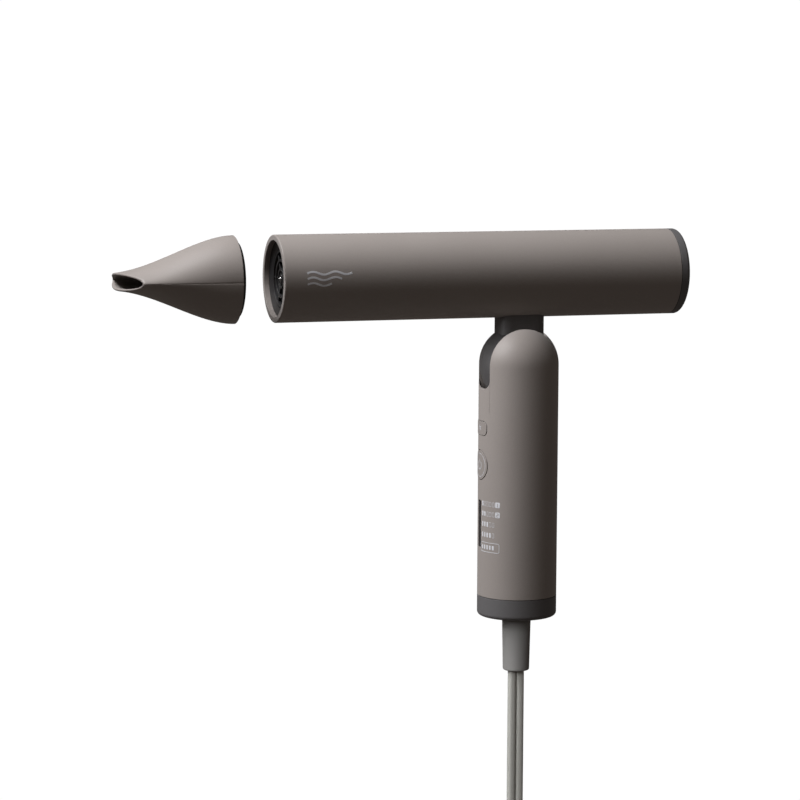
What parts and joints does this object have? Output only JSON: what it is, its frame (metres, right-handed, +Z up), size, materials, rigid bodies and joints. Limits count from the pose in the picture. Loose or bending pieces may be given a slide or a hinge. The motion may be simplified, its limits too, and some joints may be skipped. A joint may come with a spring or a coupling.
{
  "type": "hair dryer",
  "caption": "Slim folding hair dryer: round barrel on a hinged neck, domed handle with buttons, tapered pull-off nozzle and flat cord.",
  "frame": {"origin": "on the handle's axis in the middle of the grip", "axes": "+Z up along the handle, +X along the barrel towards its rear cap, the air leaves towards -X"},
  "size_m": [0.3086, 0.0466, 0.565],
  "materials": {
    "taupe_shell": "satin soft-touch paint on moulded plastic",
    "nozzle_taupe": "satin soft-touch paint, a little lighter",
    "button_taupe": "satin moulded plastic",
    "charcoal": "fine matte moulded plastic",
    "outlet_black": "heat-resistant moulded plastic, satin",
    "relief_rubber": "matte soft moulded rubber",
    "cord_grey": "matte flexible sheath",
    "tie_black": "hook-and-loop tie",
    "plug_grey": "satin moulded plastic",
    "blade_brass": "nickel-washed blade",
    "bright_steel": "ground steel",
    "screw_steel": "zinc-plated",
    "washer_black": "matte",
    "magnet": "nickel-plated magnet",
    "mica": "pressed mica sheet",
    "heating_wire": "oxidised resistance wire",
    "inner_black": "glass-filled moulded plastic",
    "stamped_steel": "stamped sheet",
    "copper_wire": "enamelled winding wire",
    "board_green": "solder mask",
    "component_black": "moulded component body",
    "lamp_clear": "clear lamp package",
    "window_smoke": "smoked light guide",
    "filter_mesh": "fine woven mesh",
    "lead_brown": "insulated lead"
  },
  "bodies": {
    "handle": {"handle_shell": "taupe_shell", "hinge_pin": "bright_steel", "friction_washers": "washer_black", "inner_chassis": "inner_black", "control_board": "board_green", "board_components": "component_black", "tact_switches": "component_black", "mode_lamps": "lamp_clear", "mode_window": "window_smoke", "bottom_cap": "charcoal", "strain_relief": "relief_rubber", "cord_clamp": "inner_black", "clamp_screws": "screw_steel", "mains_leads": "lead_brown", "cord": "cord_grey", "cord_hank": "cord_grey", "cord_tie": "tie_black", "plug_body": "plug_grey", "plug_blades": "blade_brass"},
    "barrel": {"barrel_shell": "taupe_shell", "outlet_bezel": "outlet_black", "outlet_magnet": "magnet", "outlet_grille": "outlet_black", "ion_emitter": "bright_steel", "heater_sleeve": "mica", "heater_frame": "mica", "heating_coils": "heating_wire", "thermal_fuse": "bright_steel", "motor_housing": "inner_black", "rear_bearing_plate": "inner_black", "motor_bearings": "bright_steel", "motor_stator": "stamped_steel", "stator_windings": "copper_wire", "motor_mounts": "washer_black", "motor_board": "board_green", "hinge_neck": "charcoal", "neck_saddle": "stamped_steel", "saddle_screws": "screw_steel"},
    "fan": {"rotor_shaft": "bright_steel", "rotor_magnet": "magnet", "impeller": "inner_black"},
    "rear_cover": {"rear_cap": "charcoal", "intake_filter": "filter_mesh"},
    "nozzle_ring": {"nozzle_collar": "outlet_black", "nozzle_magnet": "magnet"},
    "nozzle": {"nozzle_shell": "nozzle_taupe"},
    "power_button": {"power_button": "button_taupe"},
    "cool_button": {"cool_button": "button_taupe"}
  },
  "joints": [
    {"name": "barrel_fold", "type": "hinge", "parent": "handle", "child": "barrel", "pos_m": [0, 0, 0.0725], "axis": [0, -1, 0], "range_deg": [0, 90]},
    {"name": "fan_spin", "type": "hinge", "parent": "barrel", "child": "fan", "pos_m": [0.05, 0, 0.1208], "axis": [1, 0, 0], "continuous": true},
    {"name": "rear_cover_pull", "type": "slide", "parent": "barrel", "child": "rear_cover", "axis": [1, 0, 0], "range_m": [0, 0.03]},
    {"name": "nozzle_pull", "type": "slide", "parent": "barrel", "child": "nozzle_ring", "axis": [1, 0, 0], "range_m": [-0.03, 0.0214]},
    {"name": "nozzle_turn", "type": "hinge", "parent": "nozzle_ring", "child": "nozzle", "pos_m": [-0.16, 0, 0.1208], "axis": [1, 0, 0], "continuous": true},
    {"name": "power_button_press", "type": "slide", "parent": "handle", "child": "power_button", "axis": [1, 0, 0], "range_m": [0, 0.0007], "stiffness_N_per_m": 1500},
    {"name": "cool_button_press", "type": "slide", "parent": "handle", "child": "cool_button", "axis": [1, 0, 0], "range_m": [0, 0.0007], "stiffness_N_per_m": 1500}
  ]
}
